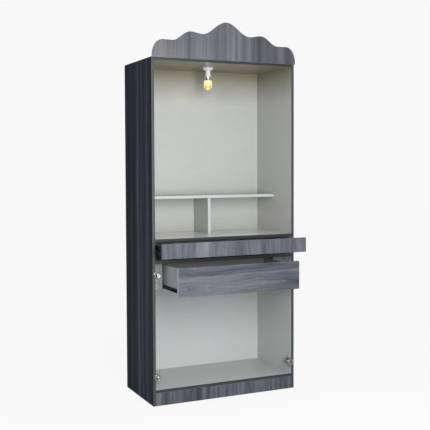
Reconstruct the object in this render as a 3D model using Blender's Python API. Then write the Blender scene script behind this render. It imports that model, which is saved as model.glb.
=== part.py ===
"""Household altar cabinet: a tall open carcass with a scalloped crown board, a lit altar bay with a half
shelf, an offering tray that pulls out, and a cupboard with an inner drawer and the hinges of its doors."""

import math

import bmesh
import bpy
from mathutils import Matrix, Vector

# Carcass, in metres
body_width = 0.800
body_depth = 0.400
body_height = 1.720
board = 0.015
edge_ease = 0.0006
seat_gap = 0.0003

# Levels above the floor
plinth_height = 0.065
deck_top = 0.828
tray_space = 0.0915
shelf_top = 1.032

# Back panel, held in grooves of the side panels
back_thickness = 0.006
back_inset = 0.010
groove_depth = 0.006

# Half shelf and the divider that carries it
shelf_depth = 0.190
divider_offset = -0.004

# Crown board, on the front of the top panel
crown_rise = 0.1876
crown_lap = 0.003
crown_reveal = 0.002
crown_straight_end = 0.005

# Offering tray
tray_front_height = 0.074
tray_deck_lap = 0.003
tray_front_reveal = 0.001
tray_side_rise = 0.016
tray_side_height = 0.042
tray_rail_height = 0.0425
tray_out = 0.111

# Inner drawer and the spacers that carry it
spacer_setback = 0.079
spacer_width = 0.067
spacer_height = 0.142
drawer_front_height = 0.142
drawer_front_lap = 0.015
drawer_top_gap = 0.0045
drawer_side_rise = 0.0125
drawer_side_height = 0.1175
drawer_rail_height = 0.0175
drawer_out = 0.233

# Boxes of the tray and the drawer
box_board = 0.012
box_rear_gap = 0.0045
box_bottom_thickness = 0.005
box_bottom_rise = 0.008
box_groove_depth = 0.005
closing_gap = 0.0005

# Runners, the same for the tray and the drawer
runner_gap = 0.0125
runner_steel = 0.0012
channel_height = 0.020
channel_depth = 0.0092
rail_lip_width = 0.014
rail_clearance = 0.0012
runner_end_gap = 0.002

# Concealed hinges, left on the cabinet without their doors
hinge_above_floor = 0.061
hinge_below_tray_floor = 0.0555
hinge_setback = 0.037
plate_length = 0.046
plate_bridge_width = 0.014
plate_wing_length = 0.018
plate_wing_span = 0.050
plate_thickness = 0.004
arm_width = 0.016
arm_height = 0.0165
arm_tail_height = 0.009
arm_tail_length = 0.028
arm_steel = 0.001
cup_inboard = 0.008
cup_diameter = 0.035
cup_depth = 0.0115
cup_wall = 0.001
cup_flange_thickness = 0.0012
cup_ear_span = 0.058
cup_ear_width = 0.015
ear_hole_spacing = 0.048
ear_hole_diameter = 0.005

# Lamp under the top panel
lamp_x = -0.006
lamp_from_front = 0.200
rose_radius = 0.0305
rose_thickness = 0.009
rose_rim = 0.003
neck_radius = 0.0135
skirt_radius = 0.0172
holder_length = 0.0475
socket_radius = 0.0140
socket_depth = 0.022
cap_radius = 0.0130
cap_length = 0.026
cap_showing = 0.0135
bulb_radius = 0.0215
bulb_length = 0.0557
bulb_shoulder = 0.010
bulb_shoulder_share = 0.86
bulb_dome = 0.017

# Facets
turned_steps = 24
hole_steps = 12
dome_steps = 6
crown_steps = 12
ease_from_angle = math.radians(40)
sharp_from_angle = math.radians(35)

# Places worked out from the sizes. The origin is on the floor, under the middle of the whole part
# as it stands with its drawer out.
drawer_reach = drawer_out - spacer_setback + closing_gap + board
body_back = (body_depth + drawer_reach) / 2
body_front = body_back - body_depth
body_left = -body_width / 2
body_right = body_width / 2
inner_left = body_left + board
inner_right = body_right - board
inner_back = body_back - back_inset - back_thickness
floor_top = plinth_height + board
deck_bottom = deck_top - board
tray_floor_top = deck_bottom - tray_space
tray_floor_bottom = tray_floor_top - board
ceiling = body_height - board
spacer_front = body_front + spacer_setback
spacer_bottom = tray_floor_bottom - spacer_height
spacer_inner = inner_right - spacer_width
hinge_low = floor_top + hinge_above_floor
hinge_high = tray_floor_bottom - hinge_below_tray_floor

# Crown outline, as shares of the half width and of the rise: each peak and dip in turn
crown_turn_shares = ((0.0, 1.0), (0.328, 0.653), (0.495, 0.698), (0.735, 0.446), (0.867, 0.450))


def clear_scene():
    """Remove every object that is in the scene."""
    for thing in list(bpy.data.objects):
        bpy.data.objects.remove(thing, do_unlink=True)


def finish(name, colour, roughness, metallic=0.0, glow=0.0):
    """A plain Principled BSDF material."""
    material = bpy.data.materials.new(name)
    material.use_nodes = True
    shader = material.node_tree.nodes["Principled BSDF"]
    shader.inputs["Base Color"].default_value = (*colour, 1.0)
    shader.inputs["Roughness"].default_value = roughness
    shader.inputs["Metallic"].default_value = metallic
    shader.inputs["Emission Color"].default_value = (*colour, 1.0)
    shader.inputs["Emission Strength"].default_value = glow
    return material


def place(name, mesh_builder, centre, material, parent=None):
    """Turn a bmesh that was built in world space into an object whose origin is at its centre."""
    bmesh.ops.recalc_face_normals(mesh_builder, faces=mesh_builder.faces)
    bmesh.ops.translate(mesh_builder, verts=mesh_builder.verts, vec=-Vector(centre))
    mesh = bpy.data.meshes.new(name)
    mesh_builder.to_mesh(mesh)
    mesh_builder.free()
    mesh.materials.append(material)
    thing = bpy.data.objects.new(name, mesh)
    bpy.context.collection.objects.link(thing)
    thing.location = centre
    if parent is not None:
        thing.parent = parent
        thing.location = Vector(centre) - parent.location
    return thing


def ease_edges(thing):
    """Break the sharp edges, as an edge band does."""
    ease = thing.modifiers.new("ease", "BEVEL")
    ease.width = edge_ease
    ease.segments = 1
    ease.limit_method = "ANGLE"
    ease.angle_limit = ease_from_angle


def panel(name, low, high, material, parent=None, eased=True):
    """A flat board between two corners."""
    centre = [(a + b) / 2 for a, b in zip(low, high)]
    size = [b - a for a, b in zip(low, high)]
    builder = bmesh.new()
    spot = Matrix.Translation(centre) @ Matrix.Diagonal((*size, 1.0))
    bmesh.ops.create_cube(builder, size=1.0, matrix=spot)
    thing = place(name, builder, centre, material, parent)
    if eased:
        ease_edges(thing)
    return thing


def prism(name, outline, axis, low, high, material, parent=None, eased=True):
    """An outline in the plane across an axis, drawn out along that axis from low to high."""
    others = [index for index in range(3) if index != axis]
    builder = bmesh.new()
    corners = []
    for first, second in outline:
        point = [0.0, 0.0, 0.0]
        point[others[0]] = first
        point[others[1]] = second
        point[axis] = low
        corners.append(builder.verts.new(point))
    face = builder.faces.new(corners)
    drawn = bmesh.ops.extrude_face_region(builder, geom=[face])
    drawn_corners = [part for part in drawn["geom"] if isinstance(part, bmesh.types.BMVert)]
    run = Vector((0.0, 0.0, 0.0))
    run[axis] = high - low
    bmesh.ops.translate(builder, verts=drawn_corners, vec=run)
    firsts = [point[0] for point in outline]
    seconds = [point[1] for point in outline]
    centre = [0.0, 0.0, 0.0]
    centre[others[0]] = (min(firsts) + max(firsts)) / 2
    centre[others[1]] = (min(seconds) + max(seconds)) / 2
    centre[axis] = (low + high) / 2
    thing = place(name, builder, centre, material, parent)
    if eased:
        ease_edges(thing)


def turned(name, profile, x, y, material):
    """A solid turned about an upright axis, from a profile of (radius, height) from axis to axis."""
    builder = bmesh.new()
    angles = [2 * math.pi * step / turned_steps for step in range(turned_steps)]
    rings = []
    for radius, height in profile:
        spokes = angles if radius > 0.0 else [0.0]
        spots = [(x + radius * math.cos(a), y + radius * math.sin(a), height) for a in spokes]
        rings.append([builder.verts.new(spot) for spot in spots])
    for upper, lower in zip(rings, rings[1:]):
        for step in range(turned_steps):
            after = (step + 1) % turned_steps
            corners = [upper[step % len(upper)], upper[after % len(upper)]]
            corners += [lower[after % len(lower)], lower[step % len(lower)]]
            builder.faces.new(list(dict.fromkeys(corners)))
    heights = [height for _, height in profile]
    thing = place(name, builder, (x, y, (min(heights) + max(heights)) / 2), material)
    thing.data.shade_smooth()
    thing.data.set_sharp_from_angle(angle=sharp_from_angle)


def crown_outline():
    """The crown's outline: cosine curves between its turns and a quarter ellipse at each end."""
    half = body_width / 2 - crown_reveal
    turns = [(half * x, crown_rise * z) for x, z in crown_turn_shares]
    points = []
    for (x0, z0), (x1, z1) in zip(turns, turns[1:]):
        for step in range(crown_steps):
            share = step / crown_steps
            points.append((x0 + (x1 - x0) * share, z1 + (z0 - z1) * (1 + math.cos(math.pi * share)) / 2))
    shoulder_x, shoulder_z = turns[-1]
    for step in range(crown_steps + 1):
        turn = math.pi / 2 * step / crown_steps
        along = shoulder_x + (half - shoulder_x) * math.sin(turn)
        up = crown_straight_end + (shoulder_z - crown_straight_end) * math.cos(turn)
        points.append((along, up))
    points.append((half, -crown_lap))
    right = [(x, body_height + z) for x, z in points]
    left = [(-x, z) for x, z in reversed(right) if x > 0]
    return right + left


def add_carcass(laminate, melamine, dark_edge):
    """Side panels, horizontals, back, plinth, half shelf and crown board."""
    near = inner_back - seat_gap
    far = inner_back + back_thickness + seat_gap
    for side, outer, inner in (("left", body_left, inner_left), ("right", body_right, inner_right)):
        groove = inner + math.copysign(groove_depth, outer)
        outline = [(outer, body_front), (inner, body_front), (inner, near), (groove, near)]
        outline += [(groove, far), (inner, far), (inner, body_back), (outer, body_back)]
        prism("side_panel_" + side, outline, 2, 0.0, body_height, laminate)
    left = inner_left + seat_gap
    right = inner_right - seat_gap
    back = inner_back - seat_gap

    def level(name, top, material):
        panel(name, (left, body_front, top - board), (right, back, top), material)

    level("top_panel", body_height, melamine)
    level("altar_deck", deck_top, melamine)
    level("tray_shelf", tray_floor_top, melamine)
    level("bottom_panel", floor_top, melamine)
    plinth_top = plinth_height - seat_gap
    panel("plinth_front", (left, body_front, 0.0), (right, body_front + board, plinth_top), laminate)
    panel("plinth_rear", (left, back - board, 0.0), (right, back, plinth_top), dark_edge)
    reach = groove_depth - seat_gap
    low = (inner_left - reach, inner_back, plinth_height)
    high = (inner_right + reach, inner_back + back_thickness, body_height)
    panel("back_panel", low, high, melamine)
    shelf_front = inner_back - shelf_depth
    panel("half_shelf", (left, shelf_front, shelf_top - board), (right, back, shelf_top), melamine)
    low = (divider_offset - board / 2, shelf_front, deck_top + seat_gap)
    high = (divider_offset + board / 2, back, shelf_top - board - seat_gap)
    panel("shelf_divider", low, high, melamine)
    face = body_front - seat_gap
    prism("crown_board", crown_outline(), 1, face - board, face, laminate, eased=False)


def add_spacers(melamine):
    """On each side a filler and a board that hold the drawer clear of the door hinges."""
    top = tray_floor_bottom - seat_gap
    back = inner_back - seat_gap
    for side, sign in (("left", -1), ("right", 1)):
        inner = sign * spacer_inner
        outer = sign * (spacer_inner + board)
        wall = sign * (inner_right - seat_gap)
        filler = outer + sign * seat_gap
        low = (min(inner, outer), spacer_front, spacer_bottom)
        high = (max(inner, outer), back, top)
        panel("spacer_board_" + side, low, high, melamine)
        low = (min(filler, wall), spacer_front, spacer_bottom)
        high = (max(filler, wall), spacer_front + board, top)
        panel("spacer_filler_" + side, low, high, melamine)


def add_runner(prefix, side, sign, wall, box_side, box_bottom, rail_height, ends, out, steel, slide):
    """A fixed channel on the wall and a rail on the box that runs in it."""
    front, back = ends
    under = box_bottom - seat_gap
    base = under - runner_steel
    bottom = base - rail_clearance
    web = wall - sign * seat_gap
    mouth = web - sign * channel_depth
    inside = web - sign * runner_steel
    top = bottom + channel_height
    low = bottom + runner_steel
    high = top - runner_steel
    outline = [(web, bottom), (mouth, bottom), (mouth, low), (inside, low)]
    outline += [(inside, high), (mouth, high), (mouth, top), (web, top)]
    prism(prefix + "_channel_" + side, outline, 1, front, back, steel, eased=False)
    face = box_side + sign * seat_gap
    skin = face + sign * runner_steel
    bar = inside - sign * rail_clearance
    lip = box_side - sign * rail_lip_width
    bar_low = low + rail_clearance
    bar_high = high - rail_clearance
    web_top = max(base + rail_height, bar_high + runner_steel)
    outline = [(lip, base), (skin, base), (skin, bar_low), (bar, bar_low), (bar, bar_high)]
    outline += [(skin, bar_high), (skin, web_top), (face, web_top), (face, under), (lip, under)]
    prism(prefix + "_rail_" + side, outline, 1, front - out, back - out, steel, slide, eased=False)


def add_box(prefix, half_clear, heights, front_bottom, closed_face, out, melamine, steel, slide):
    """Sides, back and bottom of a box that hangs between two runners, drawn out from its closed place."""
    rise, height, rail_height = heights
    half = half_clear - runner_gap
    bottom = front_bottom + rise
    top = bottom + height
    near = closed_face + seat_gap
    far = inner_back - box_rear_gap
    panel_bottom = bottom + box_bottom_rise
    panel_top = panel_bottom + box_bottom_thickness
    groove_low = panel_bottom - seat_gap
    groove_high = panel_top + seat_gap
    runner_ends = (closed_face + runner_end_gap, far - runner_end_gap)
    for side, sign in (("left", -1), ("right", 1)):
        outer = sign * half
        inner = outer - sign * box_board
        groove = inner + sign * box_groove_depth
        outline = [(outer, bottom), (inner, bottom), (inner, groove_low), (groove, groove_low)]
        outline += [(groove, groove_high), (inner, groove_high), (inner, top), (outer, top)]
        prism(prefix + "_side_" + side, outline, 1, near - out, far - out, melamine, slide)
        wall = sign * half_clear
        add_runner(prefix, side, sign, wall, outer, bottom, rail_height, runner_ends, out, steel, slide)
    inside = half - box_board
    reach = inside + box_groove_depth - seat_gap
    low = (-reach, near - out, panel_bottom)
    high = (reach, far - out, panel_top)
    panel(prefix + "_bottom", low, high, melamine, slide)
    low = (seat_gap - inside, far - box_board - out, groove_high)
    high = (inside - seat_gap, far - out, top)
    panel(prefix + "_back", low, high, melamine, slide)


def slide_axis(name, out, height):
    """An empty on the line along which a box slides, where its front stands."""
    axis = bpy.data.objects.new(name, None)
    bpy.context.collection.objects.link(axis)
    axis.location = (0.0, body_front - out, height)
    bpy.context.view_layer.update()
    return axis


def add_tray(laminate, melamine, steel):
    """The offering tray: its front laps the side panels, the deck above it and nothing below."""
    front_top = deck_bottom + tray_deck_lap
    front_bottom = front_top - tray_front_height
    slide = slide_axis("tray_slide", tray_out, front_bottom)
    half = body_width / 2 - tray_front_reveal
    face = body_front - closing_gap
    low = (-half, face - board - tray_out, front_bottom)
    high = (half, face - tray_out, front_top)
    panel("tray_front", low, high, laminate, slide)
    heights = (tray_side_rise, tray_side_height, tray_rail_height)
    add_box("tray", inner_right, heights, front_bottom, face, tray_out, melamine, steel, slide)


def add_drawer(laminate, melamine, steel):
    """The inner drawer: its front laps the spacer boards and stays clear of the hinges."""
    front_top = tray_floor_bottom - drawer_top_gap
    front_bottom = front_top - drawer_front_height
    slide = slide_axis("drawer_slide", drawer_out, front_bottom)
    half = spacer_inner + drawer_front_lap
    face = spacer_front - closing_gap
    low = (-half, face - board - drawer_out, front_bottom)
    high = (half, face - drawer_out, front_top)
    panel("drawer_front", low, high, laminate, slide)
    heights = (drawer_side_rise, drawer_side_height, drawer_rail_height)
    add_box("drawer", spacer_inner, heights, front_bottom, face, drawer_out, melamine, steel, slide)


def hinge_plate(name, sign, height, steel):
    """A winged mounting plate, flat on the side panel."""
    middle = body_front + hinge_setback
    bridge = plate_bridge_width / 2
    wing = plate_wing_length / 2
    span = plate_wing_span / 2
    near = middle - plate_length / 2
    far = middle + plate_length / 2
    corners = [(near, bridge), (middle - wing, bridge), (middle - wing, span), (middle + wing, span)]
    corners += [(middle + wing, bridge), (far, bridge)]
    outline = [(y, height + z) for y, z in corners] + [(y, height - z) for y, z in reversed(corners)]
    wall = sign * (inner_right - seat_gap)
    face = wall - sign * plate_thickness
    prism(name, outline, 0, min(wall, face), max(wall, face), steel, eased=False)


def hinge_arm(name, sign, height, steel):
    """The pressed arm over the plate, whose nose reaches down into the cup."""
    foot = inner_right - 2 * seat_gap - plate_thickness
    crest = foot - arm_height
    tail = foot - arm_tail_height
    far = body_front + hinge_setback + plate_length / 2
    cup_floor = body_front - seat_gap - cup_depth + cup_wall
    nose = cup_floor + seat_gap
    bore_radius = cup_diameter / 2 - 2 * cup_wall
    chord = math.sqrt(bore_radius**2 - (arm_width / 2) ** 2)
    lift = max(crest, inner_right - cup_inboard - chord + seat_gap)
    root = body_front + seat_gap
    outline = [(foot, far), (tail, far), (crest, far - arm_tail_length), (crest, root), (lift, root)]
    outline += [(lift, nose), (foot - arm_steel, nose), (foot - arm_steel, root), (foot, root)]
    outline = [(sign * x, y) for x, y in outline]
    low = height - arm_width / 2
    prism(name, outline, 2, low, low + arm_width, steel, eased=False)


def hinge_cup(name, sign, height, steel):
    """The round cup that a door would take, its flange and two ears with a screw hole each."""
    x = sign * (inner_right - cup_inboard)
    rear = body_front - seat_gap
    flange = rear - cup_flange_thickness
    front = rear - cup_depth
    outer = cup_diameter / 2
    across = Matrix.Rotation(math.radians(90), 4, "X")

    def drum(part_name, radius, near, far, z=height, steps=turned_steps):
        builder = bmesh.new()
        middle = (x, (near + far) / 2, z)
        bmesh.ops.create_cone(
            builder,
            cap_ends=True,
            segments=steps,
            radius1=radius,
            radius2=radius,
            depth=far - near,
            matrix=Matrix.Translation(middle) @ across,
        )
        return place(part_name, builder, middle, steel)

    def join(body, tool, action):
        cut = body.modifiers.new(action.lower(), "BOOLEAN")
        cut.operation = action
        cut.solver = "EXACT"
        cut.object = tool
        tool.hide_render = True
        tool.display_type = "WIRE"

    cup = drum(name, outer - cup_wall, front, rear)
    join(cup, drum(name + "_rim", outer, flange, rear), "UNION")
    half_span = cup_ear_span / 2
    half_width = cup_ear_width / 2
    low = (x - half_width, flange, height - half_span)
    high = (x + half_width, rear, height + half_span)
    join(cup, panel(name + "_ears", low, high, steel, eased=False), "UNION")
    past = rear + cup_wall
    join(cup, drum(name + "_bore", outer - 2 * cup_wall, front + cup_wall, past), "DIFFERENCE")
    for ear, sense in (("_low", -1), ("_high", 1)):
        z = height + sense * ear_hole_spacing / 2
        hole = drum(name + ear, ear_hole_diameter / 2, flange - cup_wall, past, z, hole_steps)
        join(cup, hole, "DIFFERENCE")


def add_hinges(steel):
    """Two hinges on each side panel."""
    for side, sign in (("left", -1), ("right", 1)):
        for level, height in (("lower", hinge_low), ("upper", hinge_high)):
            tag = side + "_" + level
            hinge_plate("hinge_plate_" + tag, sign, height, steel)
            hinge_arm("hinge_arm_" + tag, sign, height, steel)
            hinge_cup("hinge_cup_" + tag, sign, height, steel)


def add_lamp(porcelain, brass, glow):
    """A lamp holder on the ceiling of the altar bay, the screw cap of a bulb and its frosted globe."""
    y = body_front + lamp_from_front
    top = ceiling - seat_gap
    mouth = top - holder_length
    socket = mouth + socket_depth
    rose_face = top - rose_thickness
    profile = [(0.0, top), (rose_radius, top), (rose_radius, rose_face + rose_rim)]
    profile += [(rose_radius - rose_rim, rose_face), (neck_radius + rose_rim, rose_face)]
    profile += [(neck_radius, rose_face - rose_rim), (neck_radius, (rose_face + mouth) / 2)]
    profile += [(skirt_radius, mouth + rose_rim), (skirt_radius, mouth), (socket_radius, mouth)]
    profile += [(socket_radius, socket), (0.0, socket)]
    turned("lamp_holder", profile, lamp_x, y, porcelain)
    globe_top = mouth - cap_showing
    cap_bottom = globe_top + seat_gap
    cap_top = min(cap_bottom + cap_length, socket - seat_gap)
    profile = [(0.0, cap_top), (cap_radius / 2, cap_top), (cap_radius, cap_top - cap_radius / 2)]
    profile += [(cap_radius, cap_bottom), (0.0, cap_bottom)]
    turned("bulb_cap", profile, lamp_x, y, brass)
    globe_low = globe_top - bulb_length
    dome_top = globe_low + bulb_dome
    profile = [(0.0, globe_top), (cap_radius, globe_top)]
    profile += [(bulb_radius * bulb_shoulder_share, globe_top - bulb_shoulder / 2)]
    profile += [(bulb_radius, globe_top - bulb_shoulder)]
    for step in range(dome_steps):
        turn = math.pi / 2 * step / dome_steps
        profile.append((bulb_radius * math.cos(turn), dome_top - bulb_dome * math.sin(turn)))
    profile.append((0.0, globe_low))
    turned("bulb_globe", profile, lamp_x, y, glow)


def main():
    clear_scene()
    laminate = finish("grey_oak_laminate", (0.13, 0.14, 0.17), 0.55)
    melamine = finish("light_melamine", (0.56, 0.55, 0.50), 0.35)
    dark_edge = finish("dark_board", (0.09, 0.09, 0.10), 0.6)
    steel = finish("nickel_steel", (0.62, 0.62, 0.60), 0.3, metallic=1.0)
    black = finish("black_steel", (0.02, 0.02, 0.02), 0.45, metallic=0.4)
    porcelain = finish("white_plastic", (0.80, 0.79, 0.76), 0.35)
    brass = finish("nickel_cap", (0.65, 0.62, 0.55), 0.3, metallic=1.0)
    glow = finish("warm_globe", (1.0, 0.83, 0.35), 0.4, glow=2.0)
    add_carcass(laminate, melamine, dark_edge)
    add_spacers(melamine)
    add_tray(laminate, melamine, black)
    add_drawer(laminate, melamine, black)
    add_hinges(steel)
    add_lamp(porcelain, brass, glow)


main()
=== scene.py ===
"""Household altar cabinet, dressed: printed oak, pale melamine, black runners, nickel hinges, a lit lamp."""

import math

import bpy
from bpy.props import FloatProperty, FloatVectorProperty, PointerProperty
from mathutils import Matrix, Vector


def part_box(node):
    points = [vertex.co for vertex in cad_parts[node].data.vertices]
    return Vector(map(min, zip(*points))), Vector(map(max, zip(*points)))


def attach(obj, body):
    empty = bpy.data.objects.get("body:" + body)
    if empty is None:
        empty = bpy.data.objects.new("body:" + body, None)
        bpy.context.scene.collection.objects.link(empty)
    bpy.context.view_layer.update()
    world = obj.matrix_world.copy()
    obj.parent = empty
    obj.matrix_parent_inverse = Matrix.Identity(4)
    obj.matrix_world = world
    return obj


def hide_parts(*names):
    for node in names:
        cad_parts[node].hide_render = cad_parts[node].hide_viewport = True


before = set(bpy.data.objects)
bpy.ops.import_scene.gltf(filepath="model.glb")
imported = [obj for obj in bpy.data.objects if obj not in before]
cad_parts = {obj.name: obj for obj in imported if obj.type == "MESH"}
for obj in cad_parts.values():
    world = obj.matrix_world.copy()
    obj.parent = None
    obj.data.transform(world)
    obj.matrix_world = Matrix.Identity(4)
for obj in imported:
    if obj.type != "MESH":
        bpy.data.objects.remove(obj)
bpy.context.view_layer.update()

bl_info = {
    "name": "Household altar cabinet",
    "version": (1, 0, 0),
    "blender": (4, 5, 0),
    "location": "3D View > Sidebar > Altar cabinet",
    "description": "Boards, tray, drawer, runners, hinges and lamp of a household altar cabinet",
    "category": "Add Mesh",
}

# Ways that a face looks, and ways that a piece or its pattern is turned
LEFT = Vector((-1, 0, 0))
RIGHT = Vector((1, 0, 0))
FRONT = Vector((0, -1, 0))
BACK = Vector((0, 1, 0))
UP = Vector((0, 0, 1))
DOWN = Vector((0, 0, -1))
SIDES = (("left", -1), ("right", 1))
LEVELS = ("lower", "upper")
QUARTER = math.pi / 2
UPRIGHT = (0.0, 0.0, 0.0)
LYING = (0.0, QUARTER, 0.0)
SIDEWAYS = (0.0, 0.0, QUARTER)

# Tones of dust, on dark boards and on pale ones
DARK_DUST = (0.32, 0.31, 0.29)
PALE_DUST = (0.42, 0.40, 0.37)

# Boards whose upper face has a film of its own: a rougher one on the top panel, and on the altar deck a
# paler one that is painted light from above
UPPER_FILMS = {"top_panel": "top_film", "altar_deck": "deck_film"}


# Sizes, colours and light that a user can change


def length(name, description, default):
    return FloatProperty(
        name=name, description=description, default=default, min=0.0, unit="LENGTH", precision=5
    )


def number(name, description, default):
    return FloatProperty(name=name, description=description, default=default)


def share(name, description, default, high=1.0):
    return FloatProperty(name=name, description=description, default=default, min=0.0, max=high)


def colour(name, description, default):
    return FloatVectorProperty(
        name=name, description=description, default=default, subtype="COLOR", size=3, min=0.0, max=1.0
    )


def position(name, description, default):
    return FloatVectorProperty(
        name=name, description=description, default=default, subtype="TRANSLATION", size=3
    )


def turn(name, description, degrees):
    return FloatProperty(name=name, description=description, default=math.radians(degrees), unit="ROTATION")


class AltarCabinetSizes(bpy.types.PropertyGroup):
    """Small sizes of the finish, in metres."""

    edge_round: length("Edge round", "Radius on the banded edges of the boards", 0.0009)
    band: length("Edge band", "Thickness of the band round a board", 0.0010)
    metal_round: length("Metal round", "Radius on pressed steel edges", 0.0004)
    arm_round: length("Arm round", "Radius along the crest of a hinge arm", 0.0022)
    ear_round: length("Ear round", "Radius at the corners of a hinge cup's ears", 0.0055)
    screw: length("Screw head", "Radius of the screw heads on the hinges", 0.0034)
    clearance: length("Clearance", "Gap between boards that touch", 0.0003)


class AltarCabinetColours(bpy.types.PropertyGroup):
    """Colours of the finishes."""

    oak_dark: colour("Oak dark", "Darkest grain of the printed oak", (0.030, 0.033, 0.046))
    oak_mid: colour("Oak middle", "Common tone of the printed oak", (0.088, 0.092, 0.110))
    oak_light: colour("Oak light", "Lightest grain of the printed oak", (0.180, 0.184, 0.205))
    # The crown's tones are lighter and greyer than the front oak: partly its print, partly painted light on
    # the crown
    crown_dark: colour("Crown dark", "Darkest grain of the crown board", (0.047, 0.049, 0.057))
    crown_mid: colour("Crown middle", "Common tone of the crown board", (0.104, 0.106, 0.116))
    crown_light: colour("Crown light", "Lightest grain of the crown board", (0.168, 0.169, 0.177))
    # The drawer's tones, also used on the plinth, are darker than the front oak: partly their print, partly
    # painted shade
    drawer_dark: colour("Drawer dark", "Darkest grain of the drawer front", (0.026, 0.029, 0.040))
    drawer_mid: colour("Drawer middle", "Common tone of the drawer front", (0.064, 0.068, 0.085))
    drawer_light: colour("Drawer light", "Lightest grain of the drawer front", (0.125, 0.129, 0.148))
    # The outer sides' tones are darker than the front oak: partly the laminate's own tone, partly painted
    # shade of sides that face away from the light
    side_dark: colour("Side dark", "Darkest grain of the outer sides", (0.017, 0.018, 0.028))
    side_mid: colour("Side middle", "Common tone of the outer sides", (0.037, 0.039, 0.056))
    side_light: colour("Side light", "Lightest grain of the outer sides", (0.115, 0.119, 0.142))
    melamine: colour("Melamine", "The pale inside of the boards", (0.405, 0.411, 0.393))
    # Painted light: this paler, cooler tone low in the cupboard stands in for the light that reaches there
    clean: colour("Low light melamine", "Low in the cupboard, where no smoke reaches", (0.452, 0.468, 0.466))
    # Painted light: the deck's upper face is paler than the melamine, as light from above falls on it
    deck_film: colour("Deck top", "The paler upper face of the altar deck", (0.590, 0.594, 0.568))
    box_film: colour("Box melamine", "Pale sides of the tray and the drawer", (0.490, 0.508, 0.500))
    # Painted shade: the drawer's inner faces are darkened and browned as the shade inside the drawer
    drawer_film: colour("Drawer inside", "The duller inner faces of the drawer", (0.235, 0.230, 0.205))
    # Painted shade: this darker, warmer tint near the ceiling stands in for the top panel's shadow and the
    # lamp's warm light
    ceiling_shade_tint: colour("Ceiling shade", "Tint that incense smoke leaves near the ceiling", (0.480, 0.442, 0.318))
    shelf: colour("Shelf edge", "The pale band on the half shelf and the spacers", (0.415, 0.445, 0.448))
    spacer: colour("Spacer edge", "The grey front edges beside the drawer", (0.215, 0.222, 0.220))
    band: colour("Dark band", "Dark front edges of the level boards", (0.021, 0.023, 0.028))
    upright_band: colour("Upright band", "Grey front edges of the side panels", (0.034, 0.036, 0.040))
    end_band: colour("Drawer band", "The lighter band round the drawer front", (0.440, 0.475, 0.505))
    core: colour("Board core", "Raw chipboard on edges with no band", (0.300, 0.225, 0.150))
    backing: colour("Backing", "Unfaced rear of the back panel", (0.300, 0.232, 0.160))
    nickel: colour("Nickel", "Plating of the hinges", (0.450, 0.446, 0.432))
    # Painted shade: the stamped floor of a hinge cup is darkened as the shade in its recess
    recess: colour("Recess steel", "Dull steel in the stamped floor of a hinge cup", (0.055, 0.057, 0.055))
    lacquer: colour("Lacquer", "Black lacquer of the runners", (0.009, 0.009, 0.010))
    plastic: colour("Holder plastic", "Moulded plastic of the lamp holder", (0.600, 0.597, 0.585))
    # The cap's tone is far darker than bare metal: partly the metal's tone, partly painted shade
    cap: colour("Bulb cap", "Rolled metal cap of the bulb", (0.075, 0.070, 0.062))
    globe_top: colour("Globe top", "Glow of the globe beside its cap", (1.0, 0.95, 0.68))
    globe_low: colour("Globe end", "Glow at the globe's end", (0.98, 0.86, 0.22))


class AltarCabinetStudio(bpy.types.PropertyGroup):
    """Camera and light."""

    camera_spot: position("Camera place", "Where the camera stands", (-1.79413, -3.83795, 1.19230))
    camera_turn: turn("Camera turn", "How far the camera looks to the right", 24.978)
    camera_dip: turn("Camera dip", "How far the camera looks down", 2.472)
    camera_roll: turn("Camera roll", "How far the camera leans", 0.212)
    lens: number("Lens", "Focal length in millimetres", 67.995)
    rise: number("Shift", "Vertical shift of the lens", -0.0349)
    key_spot: position("Front light place", "Where the soft front light stands", (-0.66, -2.95, 1.30))
    key_width: length("Front light width", "Width of the soft front light", 1.1)
    key_height: length("Front light height", "Height of the soft front light", 1.9)
    key_power: number("Front light power", "Power of the soft front light", 104.0)
    sky_top: share("Top light", "Light from straight above", 0.70, 5.0)
    sky_front: share("Front room light", "Light from the open front", 0.62, 5.0)
    sky_rest: share("Room light", "Light from the sides and from behind", 0.20, 5.0)
    sky_rear: share("Rear room light", "Light from behind on the right", 0.55, 5.0)
    backdrop: share("Backdrop", "Brightness of the plain backdrop", 0.94)
    floor_glow: share("Floor paleness", "Share of the floor's look that takes no shadow", 0.880)
    floor_shade: share("Floor shade", "Share of the floor's look that takes shadow", 0.075)
    floor_bounce: colour("Floor bounce", "Light that the floor throws back", (0.47, 0.52, 0.575))
    glow: number("Lamp glow", "Brightness of the globe", 0.86)
    lamp_power: number("Lamp power", "Light that the lamp throws round it", 0.10)


def sizes():
    return bpy.context.scene.altar_cabinet_sizes


def colours():
    return bpy.context.scene.altar_cabinet_colours


def studio():
    return bpy.context.scene.altar_cabinet_studio


# Shader nodes


def feed(tree, socket, value):
    """Link a socket into an input, or set the input's value."""
    if isinstance(value, bpy.types.NodeSocket):
        tree.links.new(value, socket)
    elif socket.type == "RGBA" and len(value) == 3:
        socket.default_value = (*value, 1.0)
    else:
        socket.default_value = value


def add(tree, kind, inputs, **settings):
    """One shader node with its settings and its inputs, by name or by number."""
    made = tree.nodes.new(kind)
    for name, value in settings.items():
        setattr(made, name, value)
    for name, value in inputs.items():
        feed(tree, made.inputs[name], value)
    return made


def maths(tree, operation, first, second=0.0, third=0.0, clamp=False):
    made = add(tree, "ShaderNodeMath", {0: first, 1: second, 2: third}, operation=operation, use_clamp=clamp)
    return made.outputs[0]


def plus(tree, first, second):
    return maths(tree, "ADD", first, second)


def minus(tree, first, second):
    return maths(tree, "SUBTRACT", first, second)


def times(tree, first, second):
    return maths(tree, "MULTIPLY", first, second)


def times_plus(tree, first, second, third, clamp=False):
    return maths(tree, "MULTIPLY_ADD", first, second, third, clamp)


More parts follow.
